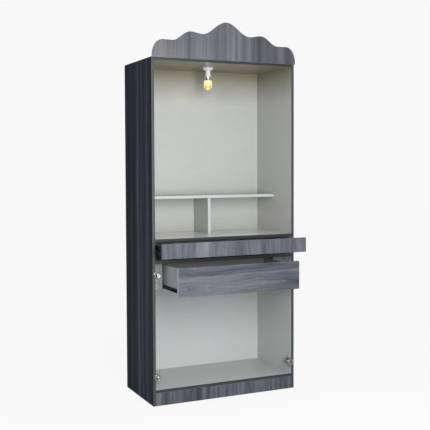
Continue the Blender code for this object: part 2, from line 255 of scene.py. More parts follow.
def blend(tree, amount, first, second, way="MIX"):
    """A mix of two colours."""
    made = tree.nodes.new("ShaderNodeMix")
    made.data_type = "RGBA"
    made.blend_type = way
    # A mix node has its amount at 0 and its two colours at 6 and 7, and gives its colour at 2
    for number, value in ((0, amount), (6, first), (7, second)):
        feed(tree, made.inputs[number], value)
    return made.outputs[2]


def noise(tree, vector, scale, detail=2.0, roughness=0.5):
    inputs = {"Vector": vector, "Scale": scale, "Detail": detail, "Roughness": roughness}
    return add(tree, "ShaderNodeTexNoise", inputs).outputs["Fac"]


def spread(tree, value, low, high, to_low=0.0, to_high=1.0):
    """A value spread from one range over another, and held inside it."""
    inputs = {0: value, 1: low, 2: high, 3: to_low, 4: to_high}
    return add(tree, "ShaderNodeMapRange", inputs).outputs[0]


def stretched(tree, vector, scale):
    return add(tree, "ShaderNodeVectorMath", {0: vector, 1: scale}, operation="MULTIPLY").outputs[0]


def scaled(tree, vector, amount):
    return add(tree, "ShaderNodeVectorMath", {0: vector, "Scale": amount}, operation="SCALE").outputs[0]


def axes(tree, vector):
    """The three parts of a vector."""
    return add(tree, "ShaderNodeSeparateXYZ", {0: vector}).outputs


def vector_of(tree, x, y, z):
    return add(tree, "ShaderNodeCombineXYZ", {0: x, 1: y, 2: z}).outputs[0]


def new_group(name, inputs, outputs):
    """An empty node group that takes a vector and the named numbers and colours."""
    tree = bpy.data.node_groups.new(name, "ShaderNodeTree")
    tree.interface.new_socket(name="Vector", in_out="INPUT", socket_type="NodeSocketVector")
    for label, default in inputs.items():
        kind = "NodeSocketFloat" if isinstance(default, float) else "NodeSocketColor"
        socket = tree.interface.new_socket(name=label, in_out="INPUT", socket_type=kind)
        socket.default_value = default if isinstance(default, float) else (*default, 1.0)
    for label in outputs:
        kind = "NodeSocketColor" if label == "Color" else "NodeSocketFloat"
        tree.interface.new_socket(name=label, in_out="OUTPUT", socket_type=kind)
    start = tree.nodes.new("NodeGroupInput")
    end = tree.nodes.new("NodeGroupOutput")
    return tree, start.outputs, end.inputs


def shared(name, inputs, *outputs):
    """For a function that fills a node group: it is made once, and later calls give the same one."""

    def keep(fill):
        def get():
            kept = bpy.data.node_groups.get(name)
            if not kept:
                kept, given, out = new_group(name, inputs, outputs)
                fill(kept, given, out)
            return kept

        return get

    return keep


@shared(
    "Oak print",
    {
        "Dark": (0.03, 0.03, 0.05),
        "Middle": (0.09, 0.09, 0.12),
        "Light": (0.19, 0.19, 0.22),
        "Band width": 0.02,
        "Band length": 0.6,
        "Figure": 0.0,
        "Waver": 0.004,
        "Contrast": 1.0,
    },
    "Color",
    "Roughness",
    "Height",
)
def oak_print_group(tree, given, out):
    """Printed oak: broad bands, fine fibre and short dark pores along Z, and arches where figure is set."""
    vector = given["Vector"]
    across, deep, along = axes(tree, vector)
    # Slow wander of the grain, then arches: the grain coordinate is a distance from the board's heart
    wander = noise(tree, stretched(tree, vector, (9.0, 9.0, 3.2)), 1.0, 3.0, 0.55)
    wander = times(tree, minus(tree, wander, 0.5), given["Waver"])
    shift = times_plus(tree, wander, 6.0, across)
    arch = times(tree, along, given["Figure"])
    squares = plus(tree, maths(tree, "POWER", shift, 2.0), maths(tree, "POWER", arch, 2.0))
    reach = maths(tree, "SQRT", squares)
    plain = times(tree, shift, maths(tree, "LESS_THAN", given["Figure"], 0.0001))
    arched = times(tree, reach, maths(tree, "GREATER_THAN", given["Figure"], 0.0001))
    grain = plus(tree, plain, arched)
    # Broad bands of two widths
    cell = maths(tree, "DIVIDE", grain, given["Band width"])
    run = maths(tree, "DIVIDE", along, given["Band length"])
    broad_at = vector_of(tree, cell, times(tree, deep, 3.0), run)
    broad = noise(tree, broad_at, 0.42, 1.0, 0.45)
    medium = noise(tree, broad_at, 1.15, 2.0, 0.6)
    thin = noise(tree, stretched(tree, broad_at, (4.6, 1.0, 2.2)), 1.0, 2.0, 0.6)
    tone = times_plus(tree, broad, 0.95, times(tree, medium, 0.85))
    tone = times_plus(tree, thin, 0.55, tone)
    tone = times(tree, minus(tree, tone, 1.175), given["Contrast"])
    tone = times_plus(tree, tone, 1.55, 0.5, clamp=True)
    low = blend(tree, spread(tree, tone, 0.0, 0.5), given["Dark"], given["Middle"])
    body = blend(tree, spread(tree, tone, 0.5, 1.0), low, given["Light"])
    # Fine fibre and short pores
    fibre_at = vector_of(tree, times(tree, grain, 620.0), deep, run)
    fibre = noise(tree, stretched(tree, fibre_at, (1.0, 300.0, 9.0)), 1.0, 2.0, 0.6)
    pore_at = stretched(tree, fibre_at, (1.9, 500.0, 26.0))
    pore = spread(tree, noise(tree, pore_at, 1.0, 1.0, 0.5), 0.60, 0.72)
    grained = blend(tree, spread(tree, fibre, 0.30, 0.70, 0.0, 0.34), body, given["Light"], "SOFT_LIGHT")
    fleck = times(tree, pore, 0.62)
    feed(tree, out["Color"], blend(tree, fleck, grained, given["Dark"]))
    rough = times_plus(tree, pore, 0.18, spread(tree, fibre, 0.2, 0.8, 0.46, 0.58))
    feed(tree, out["Roughness"], rough)
    feed(tree, out["Height"], times_plus(tree, fibre, 0.35, times(tree, pore, -0.65)))


@shared("Melamine film", {"Colour": (0.6, 0.6, 0.55), "Roughness": 0.3}, "Color", "Roughness", "Height")
def film_group(tree, given, out):
    """A pressed melamine film: a faint weave and mottle, and an orange-peel surface."""
    vector = given["Vector"]
    cloud = noise(tree, vector, 3.5, 2.0, 0.5)
    weft = noise(tree, stretched(tree, vector, (14.0, 14.0, 260.0)), 1.0, 2.0, 0.6)
    warp = noise(tree, stretched(tree, vector, (220.0, 220.0, 10.0)), 1.0, 2.0, 0.6)
    peel = noise(tree, vector, 420.0, 2.0, 0.5)
    tint = spread(tree, cloud, 0.25, 0.75, 0.985, 1.015)
    tint = times_plus(tree, minus(tree, weft, 0.5), 0.14, tint)
    tint = times_plus(tree, minus(tree, warp, 0.5), 0.10, tint)
    feed(tree, out["Color"], scaled(tree, given["Colour"], tint))
    rough = plus(tree, given["Roughness"], spread(tree, cloud, 0.3, 0.7, -0.01, 0.02))
    feed(tree, out["Roughness"], rough)
    feed(tree, out["Height"], peel)


@shared("Handling wear", {"Amount": 0.5}, "Smears", "Scuffs")
def wear_group(tree, given, out):
    """Where hands and cloths have been: soft smears and fine scuffs, as two masks."""
    vector = given["Vector"]
    smear = spread(tree, noise(tree, vector, 7.0, 2.0, 0.5), 0.45, 0.80)
    scratch = noise(tree, stretched(tree, vector, (420.0, 420.0, 60.0)), 1.0, 1.0, 0.5)
    patch = spread(tree, noise(tree, vector, 16.0, 2.0, 0.5), 0.55, 0.75)
    scuff = times(tree, spread(tree, scratch, 0.66, 0.74), patch)
    feed(tree, out["Smears"], times(tree, smear, given["Amount"]))
    feed(tree, out["Scuffs"], times(tree, scuff, given["Amount"]))


@shared("Settled dust", {"Amount": 0.1}, "Dust")
def dust_group(tree, given, out):
    """A thin film of dust on faces that look up."""
    upward = axes(tree, tree.nodes.new("ShaderNodeNewGeometry").outputs["Normal"])[2]
    cloud = spread(tree, noise(tree, given["Vector"], 9.0, 3.0, 0.5), 0.20, 0.90)
    dust = times(tree, spread(tree, upward, 0.5, 1.0), cloud)
    feed(tree, out["Dust"], times(tree, dust, given["Amount"]))


@shared("Metal marks", {"Roughness": 0.25, "Tarnish": 0.3}, "Tone", "Roughness", "Height")
def metal_group(tree, given, out):
    """Marks of pressing and handling on plated or lacquered steel."""
    vector = given["Vector"]
    brushed = noise(tree, stretched(tree, vector, (180.0, 180.0, 1400.0)), 1.0, 2.0, 0.6)
    stain = spread(tree, noise(tree, vector, 140.0, 3.0, 0.6), 0.40, 0.72)
    dull = times(tree, stain, given["Tarnish"])
    feed(tree, out["Tone"], minus(tree, 1.0, dull))
    rough = times_plus(tree, dull, 0.35, given["Roughness"])
    feed(tree, out["Roughness"], times_plus(tree, brushed, 0.10, rough))
    feed(tree, out["Height"], brushed)


@shared("Pressed chips", {"Colour": (0.3, 0.22, 0.15), "Grain size": 0.003}, "Color", "Height")
def core_group(tree, given, out):
    """Pressed wood chips, as on a sawn edge."""
    inputs = {"Vector": given["Vector"], "Scale": maths(tree, "DIVIDE", 1.0, given["Grain size"])}
    chip = add(tree, "ShaderNodeTexVoronoi", inputs, feature="F1").outputs
    tone = axes(tree, chip["Color"])[0]
    cloud = noise(tree, given["Vector"], 60.0, 3.0, 0.6)
    tint = times_plus(tree, cloud, 0.3, spread(tree, tone, 0.0, 1.0, 0.55, 1.10))
    feed(tree, out["Color"], scaled(tree, given["Colour"], tint))
    feed(tree, out["Height"], chip["Distance"])


def feed_all(tree, node, **inputs):
    """Values or links for a node's inputs, each under its name with _ for a space."""
    for name, value in inputs.items():
        feed(tree, node.inputs[name.replace("_", " ")], value)


def group(tree, source, **inputs):
    """A node group placed in a material, with this material's own values."""
    made = tree.nodes.new("ShaderNodeGroup")
    made.node_tree = source
    feed_all(tree, made, **inputs)
    return made.outputs


def start_material(name, turned_by=UPRIGHT, centre=(0.0, 0.0, 0.0)):
    """A material, its tree, its shader and a pattern vector that is centred and turned."""
    made = bpy.data.materials.new(name)
    made.use_nodes = True
    tree = made.node_tree
    shader = tree.nodes["Principled BSDF"]
    vector = tree.nodes.new("ShaderNodeTexCoord").outputs["Object"]
    away = tuple(-value for value in centre)
    for setting in ({"Location": away}, {"Rotation": turned_by}):
        vector = add(tree, "ShaderNodeMapping", {"Vector": vector, **setting}).outputs[0]
    return made, tree, shader, vector


def tone_of(name):
    return tuple(getattr(colours(), name))


def bump(tree, shader, height, depth, strength=1.0):
    made = add(tree, "ShaderNodeBump", {"Height": height, "Distance": depth, "Strength": strength})
    feed(tree, shader.inputs["Normal"], made.outputs[0])


def oak(name, shade, turned_by, centre, width, run, figure=0.0, waver=0.004, contrast=1.0, gloss=0.32):
    """A printed oak finish."""
    made, tree, shader, vector = start_material(name, turned_by, centre)
    dark, middle, light = [tone_of(shade + depth) for depth in ("_dark", "_mid", "_light")]
    grain = group(
        tree,
        oak_print_group(),
        Vector=vector,
        Dark=dark,
        Middle=middle,
        Light=light,
        Band_width=width,
        Band_length=run,
        Figure=figure,
        Waver=waver,
        Contrast=contrast,
    )
    marks = group(tree, wear_group(), Vector=vector, Amount=0.4)
    dust = group(tree, dust_group(), Vector=vector, Amount=0.12)
    tone = blend(tree, times(tree, marks["Scuffs"], 0.22), grain["Color"], light)
    tone = blend(tree, dust["Dust"], tone, DARK_DUST)
    rough = times_plus(tree, marks["Smears"], -0.08, grain["Roughness"])
    rough = times_plus(tree, dust["Dust"], 0.2, rough)
    feed_all(tree, shader, Base_Color=tone, Roughness=rough, Specular_IOR_Level=gloss)
    bump(tree, shader, grain["Height"], 0.00006)
    return made


def film(name, shade, roughness, wear=0.4, peel=0.00002, height_light_and_shade=False):
    """A smooth pressed film; with height light and shade it has painted light low down, a paler and cooler
    tone, and painted shade near the ceiling, a darker and warmer tone.
    """
    made, tree, shader, vector = start_material(name)
    tone = tone_of(shade)
    worn = tuple(value * 0.72 for value in tone)
    if height_light_and_shade:
        height = axes(tree, vector)[2]
        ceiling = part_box("top_panel")[0].z
        # Painted light: low in the cupboard the melamine turns paler and cooler
        tone = blend(tree, spread(tree, height, 0.10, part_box("tray_shelf")[0].z), tone_of("clean"), tone)
    skin = group(tree, film_group(), Vector=vector, Colour=tone, Roughness=roughness)
    marks = group(tree, wear_group(), Vector=vector, Amount=wear)
    dust = group(tree, dust_group(), Vector=vector, Amount=0.05)
    base = blend(tree, times(tree, marks["Scuffs"], 0.35), skin["Color"], worn)
    if height_light_and_shade:
        # Painted shade: near the ceiling the melamine turns darker and warmer, with the lamp's warm cast
        shade_edge = noise(tree, vector, 5.0, 2.0, 0.5)
        shade_edge = times_plus(tree, shade_edge, 0.06, minus(tree, height, 0.03))
        shade_near_ceiling = spread(tree, shade_edge, ceiling - 0.175, ceiling - 0.010)
        base = blend(tree, shade_near_ceiling, base, blend(tree, 1.0, base, tone_of("ceiling_shade_tint"), "MULTIPLY"))
    base = blend(tree, dust["Dust"], base, PALE_DUST)
    rough = times_plus(tree, marks["Smears"], 0.02, skin["Roughness"])
    feed_all(tree, shader, Base_Color=base, Roughness=times_plus(tree, dust["Dust"], 0.3, rough))
    bump(tree, shader, skin["Height"], peel)
    return made


def chips(name, shade, size, roughness):
    """A raw pressed board."""
    made, tree, shader, vector = start_material(name)
    raw = group(tree, core_group(), Vector=vector, Colour=tone_of(shade), Grain_size=size)
    dust = group(tree, dust_group(), Vector=vector, Amount=0.15)
    base = blend(tree, dust["Dust"], raw["Color"], PALE_DUST)
    feed_all(tree, shader, Base_Color=base, Roughness=roughness)
    bump(tree, shader, raw["Height"], 0.00015)
    return made


def metal(name, shade, roughness, tarnish, metallic=1.0, gloss=0.5):
    """Plated or lacquered steel."""
    made, tree, shader, vector = start_material(name)
    marks = group(tree, metal_group(), Vector=vector, Roughness=roughness, Tarnish=tarnish)
    base = scaled(tree, tone_of(shade), marks["Tone"])
    feed_all(tree, shader, Base_Color=base, Roughness=marks["Roughness"])
    feed_all(tree, shader, Metallic=metallic, Specular_IOR_Level=gloss)
    bump(tree, shader, marks["Height"], 0.00002)
    return made


def globe(name, shade):
    """Frosted glass that glows: pale by its cap and deep yellow at its end."""
    made, tree, shader, vector = start_material(name)
    top, low = tone_of(shade + "_top"), tone_of(shade + "_low")
    height = axes(tree, vector)[2]
    box_low, box_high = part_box("bulb_globe")
    ramp = spread(tree, height, box_high.z - 0.034, box_high.z - 0.008)
    frost = noise(tree, vector, 160.0, 3.0, 0.6)
    ramp = times_plus(tree, minus(tree, frost, 0.5), 0.10, ramp, clamp=True)
    dim = spread(tree, height, box_low.z, box_low.z + 0.026)
    tone = blend(tree, ramp, blend(tree, dim, tuple(value * 0.62 for value in low), low), top)
    skin = blend(tree, 0.92, tone, (0.02, 0.02, 0.012))
    feed_all(tree, shader, Base_Color=skin, Roughness=0.35)
    feed_all(tree, shader, Emission_Color=tone, Emission_Strength=studio().glow)
    bump(tree, shader, frost, 0.00003)
    return made


# Each finish: its maker, the name of its colour, and its values in the maker's order
FINISHES = {
    # Crown: a lighter copy of the front oak, partly painted light
    "crown_oak": (oak, "crown", UPRIGHT, (2.40, 0.2, 0.4), 0.026, 1.1, {"contrast": 0.85}),
    "tray_oak": (oak, "oak", UPRIGHT, (-1.21, 0.1, 0.0), 0.036, 0.45, {"waver": 0.010, "contrast": 0.80}),
    # Plinth and drawer front: a darker copy of the front oak, partly painted shade
    "plinth_oak": (oak, "drawer", UPRIGHT, (2.43, 0.3, -0.3), 0.021, 0.40, {"contrast": 1.20}),
    "drawer_oak": (
        oak, "drawer", LYING, (0.09, 0.0, 0.600), 0.016, 0.50,
        {"figure": 0.055, "waver": 0.012, "contrast": 1.40},
    ),
    # Outer sides: a darker print, partly painted shade
    "side_oak": (oak, "side", SIDEWAYS, (0.0, 3.1, 0.2), 0.024, 1.5, {"contrast": 0.72, "gloss": 0.03}),
    # This melamine has painted light low down and painted shade near the ceiling
    "melamine": (film, "melamine", 0.32, {"height_light_and_shade": True}),
    "top_film": (film, "melamine", 0.62, {"wear": 0.6, "peel": 0.00004}),
    "deck_film": (film, "deck_film", 0.15, {}),
    "shelf_band": (film, "shelf", 0.32, {"wear": 0.3}),
    # The drawer's inside: painted shade
    "drawer_film": (film, "drawer_film", 0.42, {"wear": 0.5}),
    "box_film": (film, "box_film", 0.30, {"wear": 0.5}),
    "spacer_band": (film, "spacer", 0.40, {"wear": 0.3}),
    "grey_band": (film, "band", 0.42, {"wear": 0.5}),
    "upright_band": (film, "upright_band", 0.42, {"wear": 0.5}),
    "drawer_band": (film, "end_band", 0.38, {"wear": 0.4}),
    "holder_plastic": (film, "plastic", 0.30, {"wear": 0.2}),
    "core": (chips, "core", 0.0026, 0.85, {}),
    "backing": (chips, "backing", 0.0012, 0.70, {}),
    "nickel": (metal, "nickel", 0.20, 0.65, {}),
    "dull_steel": (metal, "recess", 0.50, 0.50, {}),
    "lacquer": (metal, "lacquer", 0.45, 0.25, {"metallic": 0.0, "gloss": 0.25}),
    "cap_metal": (metal, "cap", 0.18, 0.35, {}),
    "lit_globe": (globe, "globe", {}),
}


def make_finish(name):
    maker, *values, settings = FINISHES[name]
    return maker(name, *values, **settings)


def finish(name):
    """The finish of this name, made when it is first asked for."""
    return bpy.data.materials.get(name) or make_finish(name)


# Modelling


def deselect():
    bpy.ops.object.select_all(action="DESELECT")


def take(piece):
    """Select this object alone."""
    deselect()
    piece.select_set(True)
    bpy.context.view_layer.objects.active = piece


def settle():
    """Put the placing of the selected object into its mesh."""
    bpy.ops.object.transform_apply(location=True, rotation=True, scale=True)


def name_made(name):
    """The object just made, under its name and settled."""
    piece = bpy.context.object
    piece.name = name
    piece.data.name = name
    settle()
    return piece


def open_mesh(piece, kind="FACE", action="SELECT"):
    """Edit a piece, with all or none of it selected."""
    take(piece)
    bpy.ops.object.mode_set(mode="EDIT")
    bpy.ops.mesh.select_mode(type=kind)
    bpy.ops.mesh.select_all(action=action)


def leave():
    bpy.ops.object.mode_set(mode="OBJECT")


def close_outward():
    """Turn every face outward and leave the mesh."""
    bpy.ops.mesh.select_all(action="SELECT")
    bpy.ops.mesh.normals_make_consistent(inside=False)
    leave()


def extrude(shift):
    bpy.ops.mesh.extrude_region_move(TRANSFORM_OT_translate={"value": shift})


def block(name, low, high):
    """A board blank between two corners."""
    deselect()
    centre = (Vector(low) + Vector(high)) / 2
    bpy.ops.mesh.primitive_cube_add(size=1, location=centre, scale=Vector(high) - Vector(low))
    return name_made(name)


def pick(piece, test, kind="FACE"):
    """Select the faces or edges of a piece that pass a test, in edit mode."""
    open_mesh(piece, kind, "DESELECT")
    leave()
    mesh = piece.data
    if kind == "FACE":
        for part in mesh.polygons:
            part.select = test(part.center, part.normal)
    else:
        for part in mesh.edges:
            part.select = test(*[mesh.vertices[index].co for index in part.vertices])
    bpy.ops.object.mode_set(mode="EDIT")


def bevel_picked(width, segments):
    bpy.ops.mesh.bevel(offset=width, segments=segments, affect="EDGES")
    leave()


def modify(piece, kind, **settings):
    """Add a modifier and apply it."""
    take(piece)
    added = piece.modifiers.new("step", kind)
    for name, value in settings.items():
        setattr(added, name, value)
    bpy.ops.object.modifier_apply(modifier=added.name)


def round_edges(piece, width, segments=2, angle=40):
    """Round the sharp edges."""
    limit = math.radians(angle)
    modify(piece, "BEVEL", width=width, segments=segments, limit_method="ANGLE", angle_limit=limit)


def carve(piece, tool, operation="DIFFERENCE"):
    """Cut or join with another solid, which is then gone."""
    modify(piece, "BOOLEAN", operation=operation, solver="EXACT", object=tool)
    bpy.data.objects.remove(tool, do_unlink=True)


def cut(piece, low, high):
    """Cut a box-shaped groove or hole."""
    carve(piece, block(piece.name + "_cutter", low, high))


def seam(piece, y):
    """A seam across the piece, where a band or a wing starts."""
    open_mesh(piece)
    bpy.ops.mesh.bisect(plane_co=(0, y, 0), plane_no=BACK)
    leave()


def smooth(piece, angle=40):
    take(piece)
    bpy.ops.object.shade_smooth_by_angle(angle=math.radians(angle))


def paint(piece, finishes, choose):
    """Give each face one of the finishes, chosen by its centre and normal."""
    piece.data.materials.clear()
    for name in finishes:
        piece.data.materials.append(finish(name))
    for face in piece.data.polygons:
        face.material_index = finishes.index(choose(face.center, face.normal))


def coat(piece, name):
    """Give the whole piece one finish."""
    paint(piece, [name], lambda centre, normal: name)


def dress(piece, body, node):
    """The piece rides on a body and stands for its CAD node, which is hidden."""
    deselect()
    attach(piece, body)
    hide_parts(node)


def lathe(name, profile, faces=48):
    """A solid turned about Z at the origin, from (radius, height) rings, closed at both ends."""
    deselect()
    radius, height = profile[0]
    spot = (0, 0, height)
    bpy.ops.mesh.primitive_circle_add(vertices=faces, radius=radius, fill_type="NGON", location=spot)
    piece = name_made(name)
    open_mesh(piece)
    for next_radius, next_height in profile[1:]:
        extrude((0, 0, next_height - height))
        grow = next_radius / radius
        bpy.ops.transform.resize(value=(grow, grow, 1), center_override=(0, 0, next_height))
        radius, height = next_radius, next_height
    close_outward()
    return piece


def move(piece, place, turned_by=None):
    """Turn a piece about the origin and put it at its place, both into its mesh."""
    take(piece)
    if turned_by:
        piece.rotation_euler = turned_by
    piece.location = place
    settle()


def join(name, pieces):
    """Several solids as one piece."""
    take(pieces[0])
    for piece in pieces:
        piece.select_set(True)
    bpy.ops.object.join()
    pieces[0].name = name
    pieces[0].data.name = name
    return pieces[0]


def twin(piece, name, shift, mirrored=False):
    """A copy with its own mesh, moved, and mirrored across the cabinet's middle if asked."""
    take(piece)
    bpy.ops.object.duplicate()
    bpy.context.object.location = shift
    if mirrored:
        bpy.context.object.scale = (-1, 1, 1)
    copy = name_made(name)
    if mirrored:
        open_mesh(copy)
        close_outward()
    return copy


def copy_node(node, name):
    """A copy of a CAD node with its loose triangles merged into faces."""
    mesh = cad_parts[node].data.copy()
    mesh.materials.clear()
    piece = bpy.data.objects.new(name, mesh)
    mesh.name = name
    bpy.context.scene.collection.objects.link(piece)
    open_mesh(piece)
    bpy.ops.mesh.remove_doubles(threshold=0.00001)
    bpy.ops.mesh.dissolve_limited(angle_limit=math.radians(1))
    close_outward()
    return piece


def facing(normal, way, limit=0.7):
    return normal.dot(way) > limit


def by_way(rest, *ways):
    """A choice of finish by where a face looks: the first of (way, finish, limit) that fits, or the rest."""

    def choose(centre, normal):
        for way, name, *limit in ways:
            if facing(normal, way, *limit):
                return name
        return rest

    return choose


def make_board(node, body, finishes, choose, band=None, groove=None):
    """A board in its node's place, with its groove, its rounded edges and the band on its front edge."""
    low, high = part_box(node)
    piece = block(node + "_finished", low, high)
    if groove:
        cut(piece, *groove)
    round_edges(piece, sizes().edge_round)
    band_end = low.y + sizes().band
    if band:
        seam(piece, band_end)

    def banded(centre, normal):
        return band if band and centre.y < band_end else choose(centre, normal)

    paint(piece, finishes, banded)
    dress(piece, body, node)


# Pieces


def make_side_panels():
    """Printed oak outside, melamine inside, a grey band in front, and a groove for the back panel."""
    low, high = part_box("back_panel")
    # The groove runs out through the top and bottom ends of the panels
    gap = Vector((sizes().clearance, sizes().clearance, 0.05))
    finishes = ["side_oak", "melamine", "upright_band", "core"]
    for side, sign in SIDES:
        choose = by_way("core", (RIGHT * sign, "side_oak", 0.5), (LEFT * sign, "melamine", 0.5))
        groove = (low - gap, high + gap)
        node = "side_panel_" + side
        make_board(node, "cabinet", finishes, choose, "upright_band", groove)


def make_level_boards():
    """Top, altar deck, tray shelf and bottom panel."""
    for node in ("top_panel", "altar_deck", "tray_shelf", "bottom_panel"):
        upper = UPPER_FILMS.get(node, "melamine")
        choose = by_way("core", (UP, upper), (DOWN, "melamine"))
        finishes = ["melamine", upper, "grey_band", "core"]
        make_board(node, "cabinet", finishes, choose, "grey_band")


def make_back_panel():
    """The thin back panel, pale in front and bare behind."""
    choose = by_way("backing", (FRONT, "melamine"))
    make_board("back_panel", "cabinet", ["melamine", "backing"], choose)


def make_half_shelf():
    """The half shelf and its divider, with pale bands on their front edges."""
    for node in ("half_shelf", "shelf_divider"):
        choose = by_way("melamine", (BACK, "core"))
        finishes = ["melamine", "shelf_band", "core"]
        make_board(node, "cabinet", finishes, choose, "shelf_band")


def make_crown():
    """The scalloped crown board, cut along the top line of its node, with a band round its edge."""
    node = "crown_board"
    low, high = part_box(node)
    foot = low.z + 0.001
    tops = {}
    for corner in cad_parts[node].data.vertices:
        x, z = round(corner.co.x, 5), corner.co.z
        if z > foot:
            tops[x] = max(z, tops.get(x, z))
    line = sorted(tops.items())
    deselect()
    size = high - low
    bpy.ops.mesh.primitive_grid_add(
        x_subdivisions=len(line) - 1,
        y_subdivisions=1,
        size=1,
        location=(low.x + size.x / 2, low.y, low.z + size.z / 2),
        rotation=(QUARTER, 0, 0),
        scale=(size.x, size.z, 1),
    )
    piece = name_made(node + "_finished")
    middle = low.z + size.z / 2
    for row in (False, True):
        corners = sorted((v for v in piece.data.vertices if (v.co.z > middle) == row), key=lambda v: v.co.x)
        for corner, (x, top) in zip(corners, line):
            corner.co.x = x
            corner.co.z = top if row else low.z
    open_mesh(piece)
    bpy.ops.mesh.dissolve_limited(angle_limit=math.radians(1))
    bpy.ops.mesh.select_all(action="SELECT")
    extrude((0, size.y, 0))
    close_outward()
    round_edges(piece, sizes().edge_round, 2, 50)
    band_start = low.y + sizes().edge_round * 1.2
    seam(piece, band_start)

    def choose(centre, normal):
        return "crown_oak" if abs(normal.y) > 0.9 or centre.y < band_start else "drawer_band"

    paint(piece, ["crown_oak", "drawer_band"], choose)
    smooth(piece, 35)
    dress(piece, "cabinet", node)


def make_plinth():
    """The plinth's printed front and its plain rear board."""
    front = by_way("core", (FRONT, "plinth_oak", 0.5))
    rear = by_way("core", (FRONT, "grey_band", 0.5), (BACK, "grey_band", 0.5))
    make_board("plinth_front", "cabinet", ["plinth_oak", "core"], front)
    make_board("plinth_rear", "cabinet", ["grey_band", "core"], rear)


def make_spacers():
    """Fillers and boards that hold the drawer off the hinges; the boards' face toward the drawer is dark
    grey, as painted shade in the narrow gap.
    """
    finishes = ["melamine", "spacer_band", "grey_band", "core"]
    for side, sign in SIDES:
        # The spacer boards' face toward the drawer takes the dark grey band as painted shade
        for kind, inward in (("spacer_board_", "grey_band"), ("spacer_filler_", "melamine")):
            ends = ((UP, "core"), (DOWN, "core"), (BACK, "core"))
            choose = by_way("melamine", *ends, (LEFT * sign, inward, 0.5))
            make_board(kind + side, "cabinet", finishes, choose, "spacer_band")


def make_box(prefix, front_finish, front_band, rim, inner):
    """Front, sides, back and bottom of the tray or the drawer; its inner faces have their own finish."""
    low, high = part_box(prefix + "_bottom")
    # The groove for the bottom runs out at both ends of the sides
    gap = Vector((sizes().clearance, 0.02, sizes().clearance))
    rim_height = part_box(prefix + "_back")[1].z - 0.004

    def inside(centre, normal):
        if facing(normal, BACK) or facing(normal, DOWN):
            return "core"
        if facing(normal, UP) and centre.z > rim_height:
            return rim
        if facing(normal, FRONT) or normal.x * centre.x < -0.001:
            return inner
        return "box_film"

    face = by_way(front_band, (FRONT, front_finish, 0.5), (UP, front_finish), (BACK, inner))
    make_board(prefix + "_front", prefix, [front_finish, inner, front_band], face)
    finishes = ["box_film", "core", rim, inner]
    groove = (low - gap, high + gap)
    for part in ("_side_left", "_side_right", "_back"):
        cut_in = None if part == "_back" else groove
        make_board(prefix + part, prefix, finishes, inside, None, cut_in)
    floor = by_way(inner, (DOWN, "backing"))
    make_board(prefix + "_bottom", prefix, [inner, "backing"], floor)


def make_tray():
    """The offering tray."""
    make_box("tray", "tray_oak", "grey_band", "grey_band", "melamine")


def make_drawer():
    """The inner drawer, its print lying."""
    # The drawer's inner faces take a painted shade
    make_box("drawer", "drawer_oak", "drawer_band", "box_film", "drawer_film")


def make_runners():
    """Channels on the walls and rails on the boxes, of black lacquered steel."""
    for prefix in ("tray", "drawer"):
        for kind, body in (("channel", "cabinet"), ("rail", prefix)):
            for side, _ in SIDES:
                node = prefix + "_" + kind + "_" + side
                piece = copy_node(node, node + "_finished")
                round_edges(piece, sizes().metal_round * 0.75)
                coat(piece, "lacquer")
                smooth(piece)
                dress(piece, body, node)


def screw(name, place):
    """A low screw head with a cross recess, facing the cabinet's middle from the left."""
    radius = sizes().screw
    crest = 0.0014
    rings = [(radius, 0.0), (radius, 0.0006), (radius * 0.86, 0.0011), (radius * 0.55, crest)]
    head = lathe(name, rings, 24)
    reach = radius * 0.55
    slot = radius * 0.13
    for x, y in ((reach, slot), (slot, reach)):
        cut(head, (-x, -y, crest / 2), (x, y, 0.0030))
    move(head, place, LYING)
    return head


def make_hinge_plate(node):
    """A mounting plate: a bar with a wing each way and two screws."""
    low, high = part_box(node)
    middle = (low + high) / 2
    bridge = 0.007
    wing = 0.009
    head = 0.0014
    top = high.x - head
    piece = block(node + "_finished", (low.x, low.y, middle.z - bridge), (top, high.y, middle.z + bridge))
    for edge in (middle.y - wing, middle.y + wing):
        seam(piece, edge)
    reach = (high.z - low.z) / 2 - bridge
    for sense in (-1, 1):

        def end(centre, normal, sense=sense):
            return normal.z * sense > 0.9 and abs(centre.y - middle.y) < wing * 0.5

        pick(piece, end)
        extrude((0, 0, sense * reach))
        leave()
    round_edges(piece, 0.0006)
    sunk = 0.0002
    screws = 0.0160
    heads = [screw(node + "_screw", (top - sunk, middle.y, middle.z + sense * screws)) for sense in (-1, 1)]
    return join(node + "_finished", [piece] + heads)


def make_hinge_arm(node):
    """An arm: a pressed hood with rounded crests, an adjusting slot and its screw."""
    low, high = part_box(node)
    piece = copy_node(node, node + "_finished")
    crest = high.x
    middle = (low.z + high.z) / 2

    def long_crest(first, second):
        top = min(first.x, second.x) > low.x + 0.006
        level = abs(first.z - second.z) < 0.0005
        return top and level and abs(first.z - middle) > 0.006

    pick(piece, long_crest, "EDGE")
    bevel_picked(sizes().arm_round, 3)
    round_edges(piece, sizes().metal_round)
    slot_rear = high.y - 0.0320
    slot_long, slot_half, slot_deep = 0.0090, 0.0023, 0.0022
    slot_low = (crest - slot_deep, slot_rear - slot_long, middle - slot_half)
    cut(piece, slot_low, (crest + 0.002, slot_rear, middle + slot_half))
    spot = (crest - 0.0023, slot_rear - slot_long / 2, middle)
    head = screw(node + "_screw", spot)
    take(head)
    bpy.ops.transform.resize(value=(0.5, 0.55, 0.55), center_override=spot)
    settle()
    return join(node + "_finished", [piece, head])


